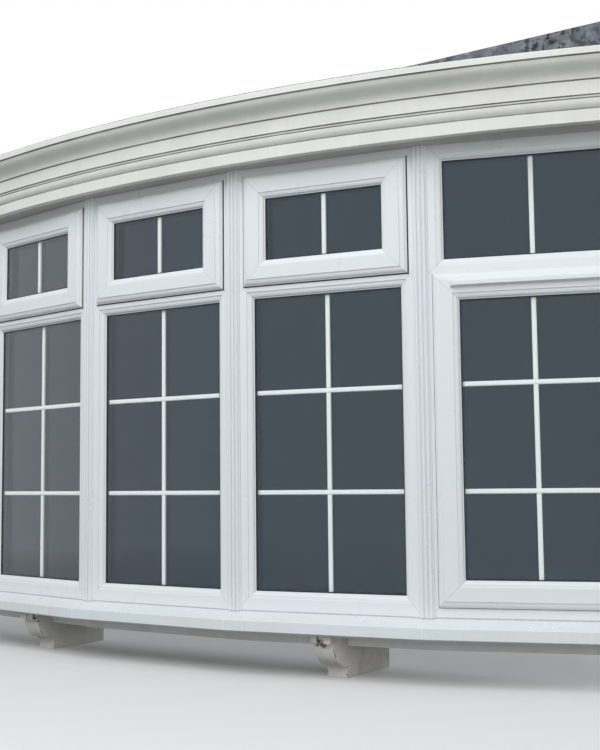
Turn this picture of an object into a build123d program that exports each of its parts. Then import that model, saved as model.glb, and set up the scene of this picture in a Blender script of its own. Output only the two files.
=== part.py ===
from build123d import *
import math
import os

# A segmental bow window: five flat lights set round a shallow curve, standing out from a wall.
# Millimetres. The wall is the plane y = 0, the bow stands towards -Y, +X is to the right.
# z = 0 is the middle of the base board's back edge, at the wall. Lights run from left to right.

# Plan of the bow
light_width = 625.0          # the three fanlight lights, between mullion centres
end_light_width = 650.0      # the two casement lights
turn_angle = 9.25            # each light turns this much from the one beside it
wall_play = 3.0              # inner corner of an end frame to the wall

# Frames
frame_height = 1402.0
frame_depth = 60.0
frame_gap = 7.0              # mullion centre to the frame's edge
frame_sight = 60.0           # frame's edge to the edge of the fixed glass
transom_low_face = 38.0      # fanlight's lower edge down to the fixed glass
transom_high_face = 47.0     # upper fixed glass down to the casement's upper edge
top_glass_height = 297.0     # the fixed glass over a casement
fixed_glass_set = 17.5       # fixed glass, behind the frame's face
unit_thickness = 28.0        # a sealed double-glazed unit
pane_thickness = 4.0
glass_cover = 10.0           # how far the frame laps the glass edge
glass_edge_play = 2.0
bead_width = 20.0            # moulded glazing bead round each fixed glass
bead_drop = 3.0              # upright edge of a bead at the glass
moulding_step = 3.0          # square step from a flat face down to its moulding
moulding_ledge = 2.5         # narrow flat at the foot of a moulding
moulding_facets = 3          # flats that make up a quarter round

# Opening sashes
fanlight_margin = 40.0       # mullion centre to the fanlight's edge
fanlight_head = 39.0         # frame's top down to the fanlight's edge
fanlight_height = 353.0
casement_margin = 35.0
casement_bottom = 31.0
sash_proud = 20.0            # sash face in front of the frame's face
sash_lap = 8.0               # how far a sash laps the frame round its opening
sash_play = 4.0              # running clearance between sash and frame
sash_face = 78.0             # edge of the sash to the edge of its glass
sash_body_depth = 52.0       # the part of a sash that lies within the frame
sash_glass_set = 16.0        # sash glass, behind the sash's face
sash_bead_width = 18.0
sash_edge_width = 19.0       # moulded outer edge of a sash
sash_edge_lip = 5.5          # square lip between that moulding and the frame
seat_gap = 0.3               # clearance between faces that seat on each other

# Drip bar on each casement's top rail
drip_height = 21.0
drip_reach = 16.0
drip_drop = 4.0              # below the upper edge of the rail's flat face
drip_slope = 5.0
drip_end_margin = 89.0

# Handles on the room side
handle_plate_width = 28.0
handle_plate_height = 70.0
handle_plate_thickness = 8.0
handle_plate_round = 9.0
handle_lever_length = 105.0
handle_lever_width = 16.0
handle_lever_thickness = 10.0
handle_lever_round = 7.5
handle_neck = 14.0

# Coupling mullions
cover_width = 45.0
cover_thickness = 4.0
reed_radius = 5.0
reed_out = 1.5               # reed centre in front of the strip's face
reed_spacing = 13.5
inner_cover_width = 34.0
inner_cover_thickness = 4.0
coupling_play = 0.5

# Jamb posts
jamb_width = 38.0

# Sill
sill_land_height = 44.0      # underside of the frames down to the base board
sill_reach = 70.0            # frame's face to the sill's nose
sill_fall = 20.0             # drop of the sloped top from the frame to the nose
sill_nose_height = 34.0
sill_lip = 8.0
sill_end_reach = 36.0        # beyond the end light, past the jamb post
sill_edge_round = 3.0

# Base
base_board_thickness = 18.0
base_board_reach = 40.0      # frame's face to the board's edge, behind the sill's nose
skirt_height = 37.0
skirt_thickness = 20.0
skirt_set_back = 56.0        # skirt's face behind the frame's face
window_board_thickness = 25.0
window_board_end_set = 16.0  # board's end, short of the end light's edge

# Brackets
bracket_inset = 4.0          # from the middle of its light, towards the bow's middle
bracket_width = 70.0
bracket_set_back = 11.0      # front of the top block behind the middle light's face
bracket_height = 131.0
bracket_block_height = 21.0
bracket_block_reach = 20.0   # top block in front of the belly
bracket_nose_set_back = 95.0 # nose behind the top block's front
bracket_nose_height = 33.0
bracket_step_reach = 9.0     # foot of the belly in front of the nose
bracket_step_height = 4.0

# Cornice and roof, measured outwards from the curve that touches the middle light's face
cornice_flattening = 334.0   # how much longer the cornice's radius is than the lights'
soffit_board_thickness = 14.0
head_board_thickness = 18.0
cornice_back = 60.0
cornice_fascia = 87.0
cornice_band = 105.0
cornice_lip = 160.0
cornice_fascia_height = 38.0
cornice_ovolo_height = 27.0
cornice_ovolo_flat = 6.0     # upright top part of the ovolo
cornice_ovolo_set = 2.5      # that part behind the listel's face
cornice_listel_height = 7.0
cornice_listel_set = 4.5     # listel's face behind the band's
cornice_band_height = 43.0
cornice_crown_height = 55.0  # S-shaped crown moulding
cornice_crown_foot = 5.0     # its foot in front of the band
cornice_crown_hollow = 20.0  # reach of its hollow lower half
cornice_lean = 58.0          # steepest lean of the crown and the ovolo, in degrees
cornice_flats = 4            # flats that follow each rounded part
cornice_crown_set = 6.0      # its top behind the lip's face
cornice_lip_height = 20.0
cornice_lip_bevel = 3.0
cornice_lip_thickness = 26.0
return_reach = 40.0          # return's fascia beyond the end of the end light
roof_fall_angle = 5.0
deck_thickness = 18.0
deck_end_play = 1.5
lead_thickness = 3.0
lead_edge_set = 4.0
flashing_upstand = 125.0     # flashing's top above the roof where it meets the wall
wall_plate_depth = 45.0

light_names = ["left_end", "left", "middle", "right", "right_end"]
sash_kinds = ["casement", "fanlight", "fanlight", "fanlight", "casement"]
light_count = len(light_names)
middle = light_count // 2
light_angles = [turn_angle * (number - middle) for number in range(light_count)]
light_widths = [end_light_width if kind == "casement" else light_width for kind in sash_kinds]

# Heights above the frame's foot, and levels
fanlight_top = frame_height - fanlight_head
fanlight_bottom = fanlight_top - fanlight_height
transom_low_glass = fanlight_bottom - transom_low_face
transom_high_glass = frame_height - frame_sight - top_glass_height
casement_top = transom_high_glass - transom_high_face
sash_glass_front = sash_proud - sash_glass_set
soffit_height = frame_height - soffit_board_thickness
half_turn = math.radians(turn_angle) / 2
base_top = base_board_thickness / 2
frame_foot = base_top + sill_land_height
soffit_level = frame_foot + soffit_height
head_level = frame_foot + frame_height


def turned(angle):
    """Unit direction along a light that is turned by this many degrees from the wall."""
    return Vector(math.cos(math.radians(angle)), math.sin(math.radians(angle)), 0)


# The lights' faces laid end to end, then how far the bow has to stand out to clear the wall
run = [Vector(0, 0, 0)]
for angle, width in zip(light_angles, light_widths):
    run.append(run[-1] + turned(angle) * width)
end_angle = math.radians(light_angles[-1])
frame_corner = frame_depth * math.cos(end_angle) - frame_gap * math.sin(end_angle)
bow_projection = (run[-1] - run[middle]).Y + frame_corner + wall_play

# Mullion centres on the lights' outer faces, from the left end to the right end
middle_left = Vector(-light_width / 2, -bow_projection, 0)
corners = [point - run[middle] + middle_left for point in run]

# The cornice's curve, a little flatter than one that touches the middle of each light
touch_radius = light_width / 2 / math.tan(half_turn)
cornice_radius = touch_radius + cornice_flattening
curve_centre_y = cornice_radius - bow_projection


def outward(angle):
    direction = turned(angle)
    return Vector(direction.Y, -direction.X, 0)


def light_plane(number):
    """Drawing plane on a light's outer face: x runs along the light, y up, z outwards."""
    start = corners[number] + Vector(0, 0, frame_foot)
    return Plane(origin=start, x_dir=turned(light_angles[number]), z_dir=outward(light_angles[number]))


def mullion_angle(place):
    return (light_angles[place - 1] + light_angles[place]) / 2


def bend_point(place, out):
    """Where two neighbouring lights' faces meet when both are moved outwards by this much."""
    return corners[place] + outward(mullion_angle(place)) * (out / math.cos(half_turn))


def end_point(place, out, reach):
    number = 0 if place == 0 else light_count - 1
    side = -1 if place == 0 else 1
    along = turned(light_angles[number]) * (side * reach)
    return corners[place] + outward(light_angles[number]) * out + along


def face_line(out, reach):
    """The bow's broken line in plan, from the left end to the right end."""
    bends = [bend_point(place, out) for place in range(1, light_count)]
    return [end_point(0, out, reach)] + bends + [end_point(light_count, out, reach)]


def to_wall(points):
    """Closes a broken line back to the wall."""
    first = Vector(points[0].X, 0, 0)
    last = Vector(points[-1].X, 0, 0)
    return points + [last, first]


def box_on(plane, left, right, low, high, back, front, mode=Mode.ADD):
    """Block on a light's plane, from its four edges and its two depths."""
    with BuildSketch(plane.offset(back)) as face:
        with Locations(((left + right) / 2, (low + high) / 2)):
            Rectangle(right - left, high - low)
    extrude(face.sketch, amount=front - back, mode=mode)


def tapered_on(plane, left, right, low, high, back, front, inset, mode=Mode.ADD):
    """Block whose four sides slope in by the inset on the way from back to front."""
    slope = math.degrees(math.atan2(inset, abs(front - back)))
    with BuildSketch(plane.offset(back)) as face:
        with Locations(((left + right) / 2, (low + high) / 2)):
            Rectangle(right - left, high - low)
    extrude(face.sketch, amount=front - back, taper=slope, mode=mode)


def quarter_round(width, height):
    """Run and rise of each flat of a quarter-round moulding, from its steep foot to its crown."""
    turns = [math.pi / 2 * spot / moulding_facets for spot in range(moulding_facets + 1)]
    return [(width * (math.cos(low) - math.cos(high)), height * (math.sin(high) - math.sin(low)))
            for low, high in zip(turns, turns[1:])]


def glazed_opening(plane, left, right, low, high, face, glass_front, bead, back):
    """Cuts the moulded opening, the glazing groove and the room-side opening of one pane."""
    level = face - moulding_step
    edge = bead
    box_on(plane, left - bead, right + bead, low - bead, high + bead, level, face, Mode.SUBTRACT)
    flats = quarter_round(bead - moulding_ledge, level - glass_front - bead_drop)
    for run, fall in reversed(flats):
        tapered_on(plane, left - edge, right + edge, low - edge, high + edge, level, level - fall, run,
                   Mode.SUBTRACT)
        edge -= run
        level -= fall
    box_on(plane, left, right, low, high, glass_front, level, Mode.SUBTRACT)
    lap = glass_cover
    groove_back = glass_front - unit_thickness
    box_on(plane, left - lap, right + lap, low - lap, high + lap, groove_back, glass_front, Mode.SUBTRACT)
    box_on(plane, left, right, low, high, back, groove_back, Mode.SUBTRACT)


def glass_unit(plane, left, right, low, high, glass_front):
    """Two panes of a sealed unit, held in the groove by their edges."""
    lap = glass_cover - glass_edge_play
    for front in (glass_front, glass_front - unit_thickness + pane_thickness):
        box_on(plane, left - lap, right + lap, low - lap, high + lap, front - pane_thickness, front)


os.makedirs("parts", exist_ok=True)


def save(node, part):
    part.label = node
    export_step(part, f"parts/{node}.step")


# Sight edges of the glass in each light: fixed glass, fanlight glass and casement glass
def glass_edges(number, place):
    width = light_widths[number]
    side = frame_gap + frame_sight
    if place == "low":
        return side, width - side, frame_sight, transom_low_glass
    if place == "high":
        return side, width - side, transom_high_glass, frame_height - frame_sight
    if place == "fanlight":
        side = fanlight_margin + sash_face
        return side, width - side, fanlight_bottom + sash_face, fanlight_top - sash_face
    side = casement_margin + sash_face
    return side, width - side, casement_bottom + sash_face, casement_top - sash_face


def sash_edges(number):
    width = light_widths[number]
    if sash_kinds[number] == "casement":
        return casement_margin, width - casement_margin, casement_bottom, casement_top
    return fanlight_margin, width - fanlight_margin, fanlight_bottom, fanlight_top


# Outer frames, each a welded rectangle with its transom
for number, name in enumerate(light_names):
    width = light_widths[number]
    face = light_plane(number)
    fixed_place = "high" if sash_kinds[number] == "casement" else "low"
    left, right, low, high = sash_edges(number)
    lap = sash_lap
    with BuildPart() as frame:
        box_on(face, frame_gap, width - frame_gap, 0, frame_height, -frame_depth, 0)
        glazed_opening(face, *glass_edges(number, fixed_place), 0, -fixed_glass_set, bead_width,
                       -frame_depth)
        box_on(face, left + lap, right - lap, low + lap, high - lap, -frame_depth, 0, Mode.SUBTRACT)
    save(f"frame_{name}", frame.part)

# Opening sashes: three top-hung fanlights and two side-hung casements
for number, name in enumerate(light_names):
    face = light_plane(number)
    kind = sash_kinds[number]
    left, right, low, high = sash_edges(number)
    inner = sash_lap + sash_play
    level = seat_gap + sash_edge_lip
    edge = moulding_ledge
    with BuildPart() as sash:
        box_on(face, left, right, low, high, seat_gap, level)
        for run, rise in quarter_round(sash_edge_width - edge, sash_proud - moulding_step - level):
            tapered_on(face, left + edge, right - edge, low + edge, high - edge, level, level + rise, run)
            edge += run
            level += rise
        box_on(face, left + edge, right - edge, low + edge, high - edge, level, sash_proud)
        box_on(face, left + inner, right - inner, low + inner, high - inner, -sash_body_depth, seat_gap)
        glazed_opening(face, *glass_edges(number, kind), sash_proud, sash_glass_front, sash_bead_width,
                       -sash_body_depth)
    save(f"{kind}_{name}", sash.part)

# Sealed glass units, the fixed one and the one in the sash of each light
for number, name in enumerate(light_names):
    face = light_plane(number)
    fixed_place = "high" if sash_kinds[number] == "casement" else "low"
    kind = sash_kinds[number]
    with BuildPart() as glass:
        glass_unit(face, *glass_edges(number, fixed_place), -fixed_glass_set)
        glass_unit(face, *glass_edges(number, kind), sash_glass_front)
    save(f"glass_{name}", glass.part)

# Drip bars on the top rails of the casements
with BuildPart() as drip_bars:
    for number, kind in enumerate(sash_kinds):
        drip_right = light_widths[number] - drip_end_margin
        drip_top = casement_top - sash_edge_width - drip_drop
        if kind == "casement":
            tapered_on(light_plane(number), drip_end_margin, drip_right, drip_top - drip_height, drip_top,
                       sash_proud, sash_proud + drip_reach, drip_slope)
save("drip_bars", drip_bars.part)

# Handles inside, on the bottom rail of each fanlight and the closing stile of each casement
for kind in ("fanlight", "casement"):
    with BuildPart() as handles:
        for number in [spot for spot in range(light_count) if sash_kinds[spot] == kind]:
            left, right, low, high = sash_edges(number)
            inside = light_plane(number).offset(-sash_body_depth)
            if kind == "fanlight":
                across, up = light_widths[number] / 2, low + sash_face / 2
                plate = (handle_plate_height, handle_plate_width)
            else:
                near = left + sash_face / 2
                far = right - sash_face / 2
                across, up = (far if number < middle else near), (low + high) / 2
                plate = (handle_plate_width, handle_plate_height)
            with BuildSketch(inside):
                with Locations((across, up)):
                    RectangleRounded(*plate, handle_plate_round)
            extrude(amount=-handle_plate_thickness)
            neck_end = handle_plate_thickness + handle_neck
            with BuildSketch(inside.offset(-handle_plate_thickness)):
                with Locations((across, up)):
                    Circle(handle_lever_width / 2)
            extrude(amount=-handle_neck)
            reach = handle_lever_length - handle_lever_width
            if kind == "fanlight":
                lever, spot = (handle_lever_length, handle_lever_width), (across + reach / 2, up)
            else:
                lever, spot = (handle_lever_width, handle_lever_length), (across, up - reach / 2)
            with BuildSketch(inside.offset(-neck_end)):
                with Locations(spot):
                    RectangleRounded(*lever, handle_lever_round)
            extrude(amount=-handle_lever_thickness)
    save(f"{kind}_handles", handles.part)

# Coupling mullions: a wedge between two frames, a reeded cover outside and a flat one inside
def cover_outline(half_width, back, front):
    """Strip bent to the angle between two lights, in a mullion's own plan; y runs inwards."""
    fall = half_width * math.tan(half_turn)
    Polyline((-half_width, fall + back), (0, back), (half_width, fall + back),
             (half_width, fall + front), (0, front), (-half_width, fall + front), close=True)


for place in range(1, light_count):
    spin = mullion_angle(place)
    foot = Plane(origin=corners[place] + Vector(0, 0, frame_foot), x_dir=turned(spin), z_dir=(0, 0, 1))
    wedge_front = (frame_gap - coupling_play) * math.cos(half_turn)
    wedge_back = wedge_front - frame_depth * math.sin(half_turn)
    inside = frame_depth / math.cos(half_turn)
    with BuildPart() as mullion:
        with BuildSketch(foot):
            with BuildLine():
                cover_outline(cover_width / 2, 0, -cover_thickness)
            make_face()
            for across in (-reed_spacing, 0, reed_spacing):
                fall = abs(across) * math.tan(half_turn)
                with Locations((across, fall - cover_thickness - reed_out)):
                    Circle(reed_radius)
        extrude(amount=soffit_height)
        with BuildSketch(foot):
            with BuildLine():
                Polyline((-wedge_front, -cover_thickness / 2), (wedge_front, -cover_thickness / 2),
                         (wedge_back, inside + inner_cover_thickness / 2),
                         (-wedge_back, inside + inner_cover_thickness / 2), close=True)
            make_face()
            with BuildLine():
                cover_outline(inner_cover_width / 2, inside, inside + inner_cover_thickness)
            make_face()
        extrude(amount=soffit_height)
    save(f"mullion_{place}", mullion.part)

# Jamb posts between the end frames and the wall
jamb_reach = jamb_width - frame_gap
for side, place in (("left", 0), ("right", light_count)):
    frame_front = end_point(place, 0, -frame_gap)
    frame_back = end_point(place, -frame_depth, -frame_gap)
    outer = end_point(place, 0, jamb_reach)
    with BuildPart() as jamb:
        with BuildSketch(Plane.XY.offset(frame_foot)):
            with BuildLine():
                Polyline((frame_front.X, frame_front.Y), (frame_back.X, frame_back.Y), (frame_back.X, 0),
                         (outer.X, 0), (outer.X, outer.Y), close=True)
            make_face()
        extrude(amount=soffit_height)
    save(f"jamb_post_{side}", jamb.part)

# Sill, one length under each light, mitred at the mullions
for number, name in enumerate(light_names):
    along = turned(light_angles[number])
    spare = 2 * sill_end_reach
    start = corners[number + 1] + along * spare + Vector(0, 0, frame_foot)
    section = Plane(origin=start, x_dir=outward(light_angles[number]), z_dir=along * -1)
    with BuildPart() as sill:
        with BuildSketch(section):
            with BuildLine():
                nose_low = -sill_fall - sill_nose_height
                Polyline((-frame_depth, -sill_land_height), (-frame_depth, 0), (0, 0),
                         (sill_reach, -sill_fall), (sill_reach, nose_low), (sill_reach - sill_lip, nose_low),
                         (sill_reach - sill_lip, -sill_land_height), close=True)
            make_face()
            fillet(vertices().group_by(Axis.X)[-1], sill_edge_round)
        extrude(amount=light_widths[number] + 2 * spare)
        for place, keep in ((number, Keep.TOP), (number + 1, Keep.BOTTOM)):
            if place in (0, light_count):
                reach = -sill_end_reach if place == 0 else sill_end_reach
                cut = Plane(origin=corners[place] + along * reach, z_dir=along)
            else:
                cut = Plane(origin=corners[place], z_dir=turned(mullion_angle(place)))
            split(bisect_by=cut, keep=keep)
        split(bisect_by=Plane.XZ, keep=Keep.TOP)
    save(f"sill_{name}", sill.part)


def plan_of(points):
    with BuildLine() as outline:
        Polyline(*[(point.X, point.Y) for point in points], close=True)
    make_face(outline.edges())


# Brackets stand near the middle of the lights beside the middle one
bracket_centre = (corners[middle + 1] + corners[middle + 2]).X / 2 - bracket_inset

# Base board under the sill, back to the wall
with BuildPart() as base_board:
    with BuildSketch(Plane.XY.offset(-base_top)):
        plan_of(to_wall(face_line(base_board_reach, jamb_reach)))
    extrude(amount=base_board_thickness)
save("base_board", base_board.part)

# Skirt boards under the base board, butted to the brackets
with BuildPart() as skirt_boards:
    with BuildSketch(Plane.XY.offset(-base_top)):
        front_line = face_line(-skirt_set_back, sill_end_reach)
        back_line = face_line(-skirt_set_back - skirt_thickness, sill_end_reach)
        plan_of(front_line + back_line[::-1])
        with Locations((-bracket_centre, -bow_projection / 2), (bracket_centre, -bow_projection / 2)):
            Rectangle(bracket_width + 2 * seat_gap, 2 * bow_projection, mode=Mode.SUBTRACT)
    extrude(amount=-skirt_height)
    split(bisect_by=Plane.XZ, keep=Keep.TOP)
save("skirt_boards", skirt_boards.part)

# Window board inside, from the frames back to the wall
with BuildPart() as window_board:
    with BuildSketch(Plane.XY.offset(base_top)):
        plan_of(to_wall(face_line(-frame_depth, -window_board_end_set)))
    extrude(amount=window_board_thickness)
save("window_board", window_board.part)

# Corbel brackets: a thin top block, a rounded belly and a square nose
bracket_reach = bow_projection - bracket_set_back
belly_reach = bracket_reach - bracket_block_reach
nose_reach = bracket_reach - bracket_nose_set_back
for side, centre in (("left", -bracket_centre), ("right", bracket_centre)):
    cheek = Plane(origin=(centre - bracket_width / 2, 0, -base_top), x_dir=(0, -1, 0), z_dir=(-1, 0, 0))
    nose_top = bracket_nose_height - bracket_height
    belly_top = -bracket_block_height
    belly_foot = (nose_reach + bracket_step_reach, nose_top + bracket_step_height)
    with BuildPart() as bracket:
        with BuildSketch(cheek):
            with BuildLine():
                Polyline((nose_reach, nose_top), (nose_reach, -bracket_height), (0, -bracket_height), (0, 0),
                         (bracket_reach, 0), (bracket_reach, belly_top), (belly_reach, belly_top))
                TangentArc((belly_reach, belly_top), belly_foot, tangent=(0, -1))
                Polyline(belly_foot, (belly_foot[0], nose_top), (nose_reach, nose_top))
            make_face()
        extrude(amount=-bracket_width)
    save(f"bracket_{side}", bracket.part)


# Plan of what the curved cornice encloses
def curved_plan(out, half_width):
    """Outline from the wall round the curve, with straight ends."""
    radius = cornice_radius + out
    end_y = curve_centre_y - math.sqrt(radius ** 2 - half_width ** 2)
    with BuildLine() as outline:
        ThreePointArc((-half_width, end_y), (0, curve_centre_y - radius), (half_width, end_y))
        Polyline((half_width, end_y), (half_width, 0), (-half_width, 0), (-half_width, end_y))
    make_face(outline.edges())


return_fascia = corners[-1].X + return_reach
return_zero = return_fascia - cornice_fascia
box_half_width = return_zero + cornice_back

# Soffit board between the lights and the cornice
soffit_thickness = head_level - soffit_level
with BuildPart() as soffit_board:
    with BuildSketch(Plane.XY.offset(soffit_level)):
        curved_plan(cornice_back - seat_gap, box_half_width - seat_gap)
    extrude(amount=soffit_thickness)
    with BuildSketch(Plane.XY.offset(soffit_level)):
        plan_of(to_wall(face_line(0, -frame_gap)))
    extrude(amount=soffit_thickness, mode=Mode.SUBTRACT)
save("soffit_board", soffit_board.part)

# Head board on the frames
with BuildPart() as head_board:
    with BuildSketch(Plane.XY.offset(head_level)):
        curved_plan(cornice_back - seat_gap, box_half_width - seat_gap)
    extrude(amount=head_board_thickness)
save("head_board", head_board.part)

# Cornice
cornice_top = (soffit_level + cornice_fascia_height + cornice_ovolo_height + cornice_listel_height
               + cornice_band_height + cornice_crown_height + cornice_lip_height)
roof_rise = math.tan(math.radians(roof_fall_angle))
roof_edge = cornice_lip - cornice_lip_bevel
deck_edge = roof_edge - cornice_lip_thickness


def roof_level(out):
    """Height of the deck's top, which falls evenly to the cornice's edge."""
    return cornice_top + (roof_edge - out) * roof_rise


def rounded_from(start, reach, rise, most):
    """Points of flats that follow an arc, upright at its start and leaning by most degrees at its end."""
    turns = [math.radians(most * spot / cornice_flats) for spot in range(cornice_flats + 1)]
    across = reach / (1 - math.cos(turns[-1]))
    up = rise / math.sin(turns[-1])
    return [(start[0] + across * (1 - math.cos(turn)), start[1] + up * math.sin(turn)) for turn in turns]


def cornice_section(shift):
    """Moulding of the cornice; shift is where its outward measure starts."""
    fascia_top = soffit_level + cornice_fascia_height
    ovolo_top = fascia_top + cornice_ovolo_height
    listel_top = ovolo_top + cornice_listel_height
    band_top = listel_top + cornice_band_height
    crown_top = band_top + cornice_crown_height
    fascia, band, lip = shift + cornice_fascia, shift + cornice_band, shift + cornice_lip
    listel = band - cornice_listel_set
    ovolo = listel - cornice_ovolo_set
    ovolo_knee = (ovolo, ovolo_top - cornice_ovolo_flat)
    ovolo_points = rounded_from(ovolo_knee, fascia - ovolo, fascia_top - ovolo_knee[1], cornice_lean)
    crown_foot = (band + cornice_crown_foot, band_top)
    crown_head = (lip - cornice_crown_set, crown_top)
    half_crown = cornice_crown_height / 2
    hollow = rounded_from(crown_foot, cornice_crown_hollow, half_crown, cornice_lean)
    swell = rounded_from(crown_head, hollow[-1][0] - crown_head[0], -half_crown, cornice_lean)
    with BuildLine() as outline:
        Polyline((shift + cornice_back, soffit_level), (fascia, soffit_level), *reversed(ovolo_points),
                 (ovolo, ovolo_top), (listel, ovolo_top), (listel, listel_top), (band, listel_top),
                 (band, band_top), *hollow, *reversed(swell[:-1]), (lip, crown_top),
                 (lip, cornice_top - cornice_lip_bevel), (shift + roof_edge, cornice_top),
                 (shift + deck_edge, roof_level(deck_edge)),
                 (shift + deck_edge, roof_level(deck_edge) - deck_thickness - seat_gap),
                 (shift + cornice_back, roof_level(cornice_back) - deck_thickness - seat_gap), close=True)
    make_face(outline.edges())


sweep_angle = math.asin((return_fascia + cornice_lip) / cornice_radius)
sweep_start = Vector(-math.sin(sweep_angle), -math.cos(sweep_angle), 0)
radial_plane = Plane(origin=(0, curve_centre_y, 0), x_dir=sweep_start,
                     z_dir=(sweep_start.Y, -sweep_start.X, 0))
curve_axis = Axis((0, curve_centre_y, 0), (0, 0, 1))
full_sweep = 2 * math.degrees(sweep_angle)


def curve_y(out, across):
    return curve_centre_y - math.sqrt((cornice_radius + out) ** 2 - across ** 2)


# The mitre between the curve and the right return passes through the fascia's and the lip's corners
mitre_inner = Vector(return_fascia, curve_y(cornice_fascia, return_fascia), 0)
mitre_outer_x = return_zero + cornice_lip
mitre_outer = Vector(mitre_outer_x, curve_y(cornice_lip, mitre_outer_x), 0)
mitre_run = mitre_outer - mitre_inner
right_mitre = Plane(origin=mitre_inner, z_dir=(-mitre_run.Y, mitre_run.X, 0))
left_mitre = Plane(origin=(-mitre_inner.X, mitre_inner.Y, 0), z_dir=(mitre_run.Y, mitre_run.X, 0))

with BuildPart() as cornice:
    with BuildSketch(radial_plane):
        cornice_section(cornice_radius)
    revolve(axis=curve_axis, revolution_arc=full_sweep)
    split(bisect_by=right_mitre, keep=Keep.BOTTOM)
    split(bisect_by=left_mitre, keep=Keep.BOTTOM)
save("cornice", cornice.part)

with BuildPart() as return_right:
    with BuildSketch(Plane(origin=(0, 0, 0), x_dir=(1, 0, 0), z_dir=(0, -1, 0))):
        cornice_section(return_zero)
    extrude(amount=bow_projection)
    split(bisect_by=right_mitre, keep=Keep.TOP)
save("cornice_return_right", return_right.part)
save("cornice_return_left", mirror(return_right.part, about=Plane.YZ, mode=Mode.PRIVATE))


def roof_band(low, high, edge):
    """Section of a sheet that follows the roof's fall, from its edge to past the wall."""
    past_wall = -bow_projection - wall_plate_depth
    outer = cornice_radius + edge
    inner = cornice_radius + past_wall
    with BuildLine() as outline:
        Polyline((outer, roof_level(edge) + low), (outer, roof_level(edge) + high),
                 (inner, roof_level(past_wall) + high), (inner, roof_level(past_wall) + low), close=True)
    make_face(outline.edges())


def roof_sheet(low, high, edge, half_width):
    with BuildSketch(radial_plane) as section:
        roof_band(low, high, edge)
    revolve(section.sketch, axis=curve_axis, revolution_arc=full_sweep)
    split(bisect_by=Plane.XZ, keep=Keep.TOP)
    split(bisect_by=Plane.YZ.offset(half_width), keep=Keep.BOTTOM)
    split(bisect_by=Plane.YZ.offset(-half_width), keep=Keep.TOP)


with BuildPart() as roof_deck:
    roof_sheet(-deck_thickness, 0, deck_edge - seat_gap, return_zero + deck_edge - deck_end_play)
save("roof_deck", roof_deck.part)

with BuildPart() as lead_roof:
    roof_sheet(0, lead_thickness, roof_edge - lead_edge_set, return_zero + roof_edge - lead_edge_set)
save("lead_roof", lead_roof.part)

# Wall plate that carries the deck's back edge, cut to the fall of the roof
roof_depth = cornice_top - head_level
with BuildPart() as wall_plate:
    with BuildSketch(Plane.XY.offset(head_level + head_board_thickness)):
        with Locations((0, -wall_plate_depth / 2)):
            Rectangle(2 * (box_half_width - seat_gap), wall_plate_depth)
    extrude(amount=roof_depth)
    with BuildSketch(radial_plane):
        roof_band(-deck_thickness, roof_depth, cornice_lip)
    revolve(axis=curve_axis, revolution_arc=full_sweep, mode=Mode.SUBTRACT)
save("wall_plate", wall_plate.part)

# Lead flashing up the wall
flashing_level = roof_level(-bow_projection) + flashing_upstand
flashing_half_width = return_zero + roof_edge - lead_edge_set
with BuildPart() as lead_flashing:
    with BuildSketch(Plane.XZ):
        with Locations((0, (head_level + flashing_level) / 2)):
            Rectangle(2 * flashing_half_width, flashing_level - head_level)
    extrude(amount=lead_thickness)
    with BuildSketch(radial_plane):
        roof_band(lead_thickness - 2 * roof_depth, lead_thickness, cornice_lip)
    revolve(axis=curve_axis, revolution_arc=full_sweep, mode=Mode.SUBTRACT)
save("lead_flashing", lead_flashing.part)
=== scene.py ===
import bpy
import bmesh
import math
from mathutils import Matrix, Vector, noise


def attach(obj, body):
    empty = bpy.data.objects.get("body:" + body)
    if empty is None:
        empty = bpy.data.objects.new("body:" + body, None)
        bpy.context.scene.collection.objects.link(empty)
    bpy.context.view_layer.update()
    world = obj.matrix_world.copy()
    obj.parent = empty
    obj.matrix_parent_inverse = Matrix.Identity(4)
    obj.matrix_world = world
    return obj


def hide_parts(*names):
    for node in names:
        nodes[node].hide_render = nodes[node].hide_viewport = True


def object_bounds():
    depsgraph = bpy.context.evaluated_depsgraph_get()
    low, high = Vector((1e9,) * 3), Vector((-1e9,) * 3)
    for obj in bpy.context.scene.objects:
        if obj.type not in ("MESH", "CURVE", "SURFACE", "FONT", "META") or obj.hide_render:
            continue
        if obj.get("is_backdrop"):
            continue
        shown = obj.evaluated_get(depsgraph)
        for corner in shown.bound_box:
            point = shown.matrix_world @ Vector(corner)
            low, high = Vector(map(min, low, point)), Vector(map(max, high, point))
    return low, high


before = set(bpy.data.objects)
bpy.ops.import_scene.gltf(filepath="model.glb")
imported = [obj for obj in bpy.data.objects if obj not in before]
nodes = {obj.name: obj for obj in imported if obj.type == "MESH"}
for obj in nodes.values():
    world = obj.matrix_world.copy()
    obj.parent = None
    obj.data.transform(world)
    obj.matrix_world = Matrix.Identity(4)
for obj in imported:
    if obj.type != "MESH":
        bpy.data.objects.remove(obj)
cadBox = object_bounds()
print("frame loaded:", len(nodes), "nodes")

# The bow's layout, as in the solids. Lengths are in metres, angles in degrees.
bow = {
    "lightWidth": 0.625,
    "endWidth": 0.650,
    "turn": 9.25,  # from one light to the next
    "frameDepth": 0.060,
    "frameGap": 0.007,  # mullion centre to the frame's edge
    "wallPlay": 0.003,
    "footLevel": 0.053,  # where the frames stand on the sill
    "flattening": 0.334,  # how much longer the cornice's radius is than the lights'
}
lightNames = ["left_end", "left", "middle", "right", "right_end"]
endLights = ("left_end", "right_end")
middle = lightNames.index("middle")
turns = [math.radians(bow["turn"]) * (number - middle) for number in range(len(lightNames))]
lightWidths = [bow["endWidth"] if name in endLights else bow["lightWidth"] for name in lightNames]
halfTurn = math.radians(bow["turn"]) / 2


def along(angle):
    return Vector((math.cos(angle), math.sin(angle), 0.0))


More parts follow.
